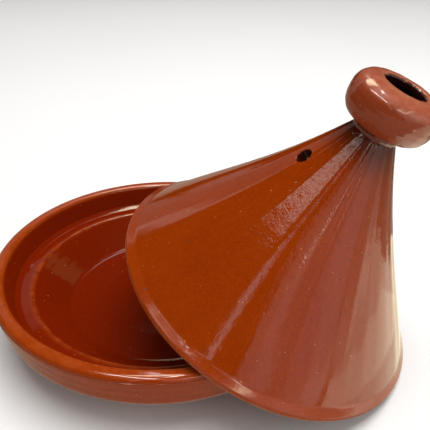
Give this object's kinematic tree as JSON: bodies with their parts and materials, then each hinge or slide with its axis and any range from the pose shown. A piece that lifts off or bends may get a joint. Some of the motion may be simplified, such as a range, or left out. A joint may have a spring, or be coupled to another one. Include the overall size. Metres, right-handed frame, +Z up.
{
  "type": "tagine pot",
  "caption": "Glazed earthenware tagine: lipped round cooking dish with a tall conical lid leaning on its rim, steam hole and hollow ring knob.",
  "frame": {"origin": "centre of the dish's flat foot, on the table", "axes": "+Z up, along the dish's own axis; +X is the way the resting lid leans, away from the dish"},
  "size_m": [0.3328, 0.27, 0.2205],
  "materials": {
    "dish_glaze": "gloss",
    "lid_glaze": "gloss",
    "collar_glaze": "gloss",
    "knob_glaze": "gloss"
  },
  "bodies": {
    "base": {"base_dish": "dish_glaze"},
    "lid": {"lid_cone": "lid_glaze", "knob_collar": "collar_glaze", "lid_knob": "knob_glaze"}
  },
  "joints": [
    {"name": "lid_lift", "type": "slide", "parent": "base", "child": "lid", "axis": [0, 0, 1], "range_m": [0, 0.25]}
  ]
}
